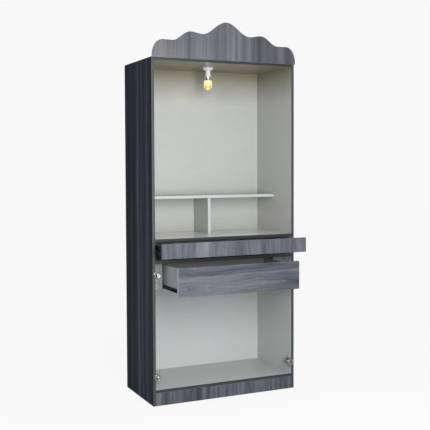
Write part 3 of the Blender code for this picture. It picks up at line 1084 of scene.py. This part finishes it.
def make_hinge_cup(node):
    """A deep drawn cup with a stamped floor, a rolled rim and two rounded ears."""
    low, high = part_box(node)
    middle = (low + high) / 2
    depth = high.y - low.y
    outer = 0.0175
    flange = 0.0012
    lip = 0.0003
    corner = 0.0022
    shell = outer - 0.0010
    stamp = 0.0084
    rings = [(stamp, depth - 0.0014), (stamp + 0.0006, depth - lip), (stamp + 0.0014, depth)]
    rings += [(shell - corner, depth), (shell, depth - corner), (shell, flange)]
    rings += [(outer, flange), (outer, lip), (outer - lip, 0.0)]
    cup = lathe(node + "_finished", [(radius, -deep) for radius, deep in rings], 64)
    ear = 0.0075
    ears = block(node + "_ears", (-ear, low.z - middle.z, -flange), (ear, high.z - middle.z, 0.0))

    def upright(first, second):
        return abs(first.z - second.z) > 0.0005 and abs(first.x - second.x) < 0.0001

    pick(ears, upright, "EDGE")
    bevel_picked(sizes().ear_round, 6)
    carve(cup, ears, "UNION")
    bore = [(0.0110, 0.0021 - depth), (0.0150, 0.0034 - depth), (0.0155, 0.0010)]
    carve(cup, lathe(node + "_bore", bore, 64))
    for sense in (-1, 1):
        hole = lathe(node + "_hole", [(0.0022, -0.0030), (0.0022, -0.0007), (0.0032, 0.0008)], 24)
        move(hole, (0, sense * 0.024, 0))
        carve(cup, hole)
    move(cup, (middle.x, high.y, middle.z), (-QUARTER, 0, 0))
    round_edges(cup, 0.00022, 1, 50)
    return cup


def make_hinges():
    """Four concealed hinges, modelled once and copied."""
    for kind, maker in (("plate", make_hinge_plate), ("arm", make_hinge_arm), ("cup", make_hinge_cup)):
        first_node = "hinge_" + kind + "_left_lower"
        first = maker(first_node)
        low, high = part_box(first_node)
        middle = (low + high) / 2

        # The cup's stamped floor takes painted shade
        def choose(centre, normal, stamped=kind == "cup", low=low, middle=middle):
            near = math.hypot(centre.x - middle.x, centre.z - middle.z) < 0.0088
            return "dull_steel" if stamped and near and 0.0003 < centre.y - low.y < 0.0020 else "nickel"

        paint(first, ["nickel", "dull_steel"] if kind == "cup" else ["nickel"], choose)
        smooth(first)
        made = [(first, first_node)]
        for side, _ in SIDES:
            for level in LEVELS:
                node = "hinge_" + kind + "_" + side + "_" + level
                if node != first_node:
                    shift = (0, 0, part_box(node)[0].z - low.z)
                    made.append((twin(first, node + "_finished", shift, side == "right"), node))
        for piece, node in made:
            dress(piece, "cabinet", node)


def hang(piece, node):
    """Put a piece turned at the origin under the top of its node."""
    low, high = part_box(node)
    move(piece, ((low.x + high.x) / 2, (low.y + high.y) / 2, high.z))


def measure(node):
    """The radius and the height of a turned node."""
    low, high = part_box(node)
    return (high.x - low.x) / 2, high.z - low.z


def make_holder():
    """The lamp holder: a tapered rose on the ceiling, a neck and a skirt."""
    reach, tall = measure("lamp_holder")
    neck, skirt, mouth = 0.0136, 0.0152, 0.0140
    rings = [(reach - 0.0012, 0.0), (reach - 0.0002, 0.0012), (reach - 0.0010, 0.0050)]
    rings += [(reach - 0.0036, 0.0094), (reach - 0.0076, 0.0124)]
    rings += [(neck + 0.0042, 0.0136), (neck + 0.0012, 0.0152), (neck, 0.0180), (neck, 0.0270)]
    rings += [(neck + 0.0007, 0.0310), (skirt - 0.0003, tall - 0.0060), (skirt, tall - 0.0030)]
    rings += [(skirt, tall - 0.0006), (skirt - 0.0006, tall), (mouth, tall), (mouth, tall - 0.0210)]
    holder = lathe("lamp_holder_finished", [(radius, -depth) for radius, depth in rings], 64)
    for x in (0.0215, -0.0215):
        hole = lathe("holder_screw_hole", [(0.0022, 0.0), (0.0030, -0.0030)], 24)
        move(hole, (x, 0.0, -0.0117))
        carve(holder, hole)
    hang(holder, "lamp_holder")
    coat(holder, "holder_plastic")
    smooth(holder, 35)
    dress(holder, "cabinet", "lamp_holder")


def make_cap():
    """The bulb's rolled screw cap."""
    radius, tall = measure("bulb_cap")
    pitch = 0.0036
    root = radius - 0.0010
    rings = [(radius * 0.5, 0.0), (radius - 0.002, tall * 0.24)]
    depth = tall * 0.28
    while depth + pitch < tall - 0.0045:
        rings += [(root, depth), (radius, depth + pitch * 0.35), (radius, depth + pitch * 0.55)]
        depth += pitch
    rings += [(root, depth), (radius - 0.0008, tall - 0.0030), (radius, tall - 0.0020), (radius, tall)]
    cap = lathe("bulb_cap_finished", [(ring, -deep) for ring, deep in rings])
    hang(cap, "bulb_cap")
    coat(cap, "cap_metal")
    smooth(cap, 50)
    dress(cap, "cabinet", "bulb_cap")


def make_globe():
    """The bulb's frosted globe, with a metal collar and a domed end."""
    collar = measure("bulb_cap")[0]
    wide, tall = measure("bulb_globe")
    dome = 0.0170
    rings = [(collar * 0.80, 0.0), (collar * 0.84, 0.0010), (collar * 0.86, 0.0050), (wide * 0.80, 0.0060)]
    rings += [(wide * 0.94, 0.0078), (wide * 0.99, 0.0105), (wide, 0.0145), (wide, tall - 0.0180)]
    for step in range(1, 10):
        angle = QUARTER * step / 10
        rings.append((wide * math.cos(angle), tall - dome + dome * math.sin(angle)))
    rings.append((wide * 0.05, tall))
    bulb = lathe("bulb_globe_finished", [(ring, -deep) for ring, deep in rings])
    hang(bulb, "bulb_globe")
    collar_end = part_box("bulb_globe")[1].z - 0.0052

    def choose(centre, normal):
        return "cap_metal" if centre.z > collar_end else "lit_globe"

    paint(bulb, ["lit_globe", "cap_metal"], choose)
    smooth(bulb, 60)
    dress(bulb, "cabinet", "bulb_globe")


def make_lamp():
    """Lamp holder, screw cap and glowing globe."""
    make_holder()
    make_cap()
    make_globe()


def make_world():
    """Soft room light: bright above and in front, dim elsewhere, behind a plain pale backdrop."""
    light = studio()
    world = bpy.data.worlds.new("Studio")
    bpy.context.scene.world = world
    world.use_nodes = True
    tree = world.node_tree
    tree.nodes.clear()
    x, y, z = axes(tree, tree.nodes.new("ShaderNodeTexCoord").outputs["Generated"])
    above = spread(tree, z, 0.0, 1.0, 0.0, light.sky_top - light.sky_rest)
    front = spread(tree, times(tree, y, -1.0), 0.0, 1.0, 0.0, light.sky_front - light.sky_rest)
    # The light from behind is strongest where this sum is: to the right and a little to the rear
    lean, furthest = 1.8, 2.06
    behind = spread(tree, times_plus(tree, x, lean, y), 0.0, furthest, 0.0, light.sky_rear)
    level = plus(tree, plus(tree, above, front), plus(tree, behind, light.sky_rest))
    tint = blend(tree, spread(tree, z, 0.0, 0.8), (0.955, 0.985, 1.03), (1.0, 0.985, 0.95))
    room = add(tree, "ShaderNodeBackground", {"Color": tint, "Strength": level}).outputs[0]
    white = {"Color": (1, 1, 1), "Strength": light.backdrop}
    plain = add(tree, "ShaderNodeBackground", white).outputs[0]
    seen = tree.nodes.new("ShaderNodeLightPath").outputs["Is Camera Ray"]
    mixed = add(tree, "ShaderNodeMixShader", {0: seen, 1: room, 2: plain}).outputs[0]
    end = tree.nodes.new("ShaderNodeOutputWorld")
    tree.links.new(mixed, end.inputs["Surface"])


def make_floor():
    """A pale floor that glows as the backdrop does, takes a faint shadow and throws light back."""
    light = studio()
    deselect()
    bpy.ops.mesh.primitive_plane_add(size=30, location=(0, 0, 0))
    ground = bpy.context.object
    ground.name = "studio_floor"
    made, tree, shader, vector = start_material("pale_floor")
    seen = tree.nodes.new("ShaderNodeLightPath").outputs["Is Camera Ray"]
    cloud = spread(tree, noise(tree, vector, 0.8, 3.0, 0.5), 0.3, 0.7, 0.98, 1.02)
    tone = blend(tree, seen, tuple(light.floor_bounce), (light.floor_shade,) * 3)
    glow = times(tree, seen, light.floor_glow)
    feed_all(tree, shader, Base_Color=scaled(tree, tone, cloud), Roughness=0.9, Specular_IOR_Level=0.0)
    feed_all(tree, shader, Emission_Color=(1, 1, 1), Emission_Strength=glow)
    ground.data.materials.append(made)


def add_light(**settings):
    """A light that the camera doesn't see."""
    deselect()
    bpy.ops.object.light_add(**settings)
    bpy.context.object.visible_camera = False
    return bpy.context.object.data


def make_studio():
    """Pale floor, soft light and the camera."""
    light = studio()
    bpy.context.scene.view_settings.view_transform = "Standard"
    make_world()
    make_floor()
    key = add_light(type="AREA", location=light.key_spot, rotation=(QUARTER, 0, 0))
    key.shape = "RECTANGLE"
    key.size = light.key_width
    key.size_y = light.key_height
    key.energy = light.key_power
    low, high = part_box("bulb_globe")
    under = ((low.x + high.x) / 2, (low.y + high.y) / 2, low.z - 0.02)
    lamp = add_light(type="POINT", radius=0.025, location=under)
    lamp.color = (1.0, 0.72, 0.36)
    lamp.energy = light.lamp_power
    lamp.specular_factor = 0.0
    deselect()
    turned_by = (QUARTER - light.camera_dip, light.camera_roll, -light.camera_turn)
    bpy.ops.object.camera_add(location=light.camera_spot, rotation=turned_by)
    camera = bpy.context.object
    camera.data.sensor_width = 36
    camera.data.lens = light.lens
    camera.data.shift_y = light.rise
    bpy.context.scene.camera = camera


# Operators, one for each piece or group of like pieces, and one for the stage


class MakeSidePanels(bpy.types.Operator):
    """Make the two side panels"""

    bl_idname = "altar_cabinet.side_panels"
    bl_label = "Side panels"

    def execute(self, context):
        make_side_panels()
        return {"FINISHED"}


class MakeLevelBoards(bpy.types.Operator):
    """Make the top, the altar deck, the tray shelf and the bottom panel"""

    bl_idname = "altar_cabinet.level_boards"
    bl_label = "Level boards"

    def execute(self, context):
        make_level_boards()
        return {"FINISHED"}


class MakeBackPanel(bpy.types.Operator):
    """Make the back panel"""

    bl_idname = "altar_cabinet.back_panel"
    bl_label = "Back panel"

    def execute(self, context):
        make_back_panel()
        return {"FINISHED"}


class MakeHalfShelf(bpy.types.Operator):
    """Make the half shelf and its divider"""

    bl_idname = "altar_cabinet.half_shelf"
    bl_label = "Half shelf"

    def execute(self, context):
        make_half_shelf()
        return {"FINISHED"}


class MakeCrown(bpy.types.Operator):
    """Make the scalloped crown board"""

    bl_idname = "altar_cabinet.crown"
    bl_label = "Crown board"

    def execute(self, context):
        make_crown()
        return {"FINISHED"}


class MakePlinth(bpy.types.Operator):
    """Make the plinth boards"""

    bl_idname = "altar_cabinet.plinth"
    bl_label = "Plinth"

    def execute(self, context):
        make_plinth()
        return {"FINISHED"}


class MakeSpacers(bpy.types.Operator):
    """Make the spacers beside the drawer"""

    bl_idname = "altar_cabinet.spacers"
    bl_label = "Spacers"

    def execute(self, context):
        make_spacers()
        return {"FINISHED"}


class MakeTray(bpy.types.Operator):
    """Make the offering tray"""

    bl_idname = "altar_cabinet.tray"
    bl_label = "Offering tray"

    def execute(self, context):
        make_tray()
        return {"FINISHED"}


class MakeDrawer(bpy.types.Operator):
    """Make the inner drawer"""

    bl_idname = "altar_cabinet.drawer"
    bl_label = "Inner drawer"

    def execute(self, context):
        make_drawer()
        return {"FINISHED"}


class MakeRunners(bpy.types.Operator):
    """Make the runners of the tray and the drawer"""

    bl_idname = "altar_cabinet.runners"
    bl_label = "Runners"

    def execute(self, context):
        make_runners()
        return {"FINISHED"}


class MakeHinges(bpy.types.Operator):
    """Make the four concealed hinges"""

    bl_idname = "altar_cabinet.hinges"
    bl_label = "Hinges"

    def execute(self, context):
        make_hinges()
        return {"FINISHED"}


class MakeLamp(bpy.types.Operator):
    """Make the lamp under the top panel"""

    bl_idname = "altar_cabinet.lamp"
    bl_label = "Lamp"

    def execute(self, context):
        make_lamp()
        return {"FINISHED"}


class MakeStudio(bpy.types.Operator):
    """Make the floor, the light and the camera"""

    bl_idname = "altar_cabinet.studio"
    bl_label = "Studio"

    def execute(self, context):
        make_studio()
        return {"FINISHED"}


OPERATORS = (
    MakeSidePanels,
    MakeLevelBoards,
    MakeBackPanel,
    MakeHalfShelf,
    MakeCrown,
    MakePlinth,
    MakeSpacers,
    MakeTray,
    MakeDrawer,
    MakeRunners,
    MakeHinges,
    MakeLamp,
    MakeStudio,
)


class AltarCabinetPanel(bpy.types.Panel):
    """Sizes, colours, light and the operators that make each piece"""

    bl_idname = "VIEW3D_PT_altar_cabinet"
    bl_label = "Altar cabinet"
    bl_space_type = "VIEW_3D"
    bl_region_type = "UI"
    bl_category = "Altar cabinet"

    def draw(self, context):
        layout = self.layout
        scene = context.scene
        for settings in (scene.altar_cabinet_sizes, scene.altar_cabinet_colours, scene.altar_cabinet_studio):
            box = layout.box()
            for name in settings.bl_rna.properties.keys():
                if name not in ("rna_type", "name"):
                    box.prop(settings, name)
        for operator in OPERATORS:
            layout.operator(operator.bl_idname)


SETTINGS = (
    ("altar_cabinet_sizes", AltarCabinetSizes),
    ("altar_cabinet_colours", AltarCabinetColours),
    ("altar_cabinet_studio", AltarCabinetStudio),
)


def register():
    for name, settings in SETTINGS:
        bpy.utils.register_class(settings)
        setattr(bpy.types.Scene, name, PointerProperty(type=settings))
    for part in (*OPERATORS, AltarCabinetPanel):
        bpy.utils.register_class(part)


def unregister():
    for part in reversed((*OPERATORS, AltarCabinetPanel)):
        bpy.utils.unregister_class(part)
    for name, settings in reversed(SETTINGS):
        delattr(bpy.types.Scene, name)
        bpy.utils.unregister_class(settings)


def main():
    register()
    bpy.ops.altar_cabinet.side_panels()
    bpy.ops.altar_cabinet.level_boards()
    bpy.ops.altar_cabinet.back_panel()
    bpy.ops.altar_cabinet.half_shelf()
    bpy.ops.altar_cabinet.crown()
    bpy.ops.altar_cabinet.plinth()
    bpy.ops.altar_cabinet.spacers()
    bpy.ops.altar_cabinet.tray()
    bpy.ops.altar_cabinet.drawer()
    bpy.ops.altar_cabinet.runners()
    bpy.ops.altar_cabinet.hinges()
    bpy.ops.altar_cabinet.lamp()
    bpy.ops.altar_cabinet.studio()


if __name__ == "__main__":
    main()
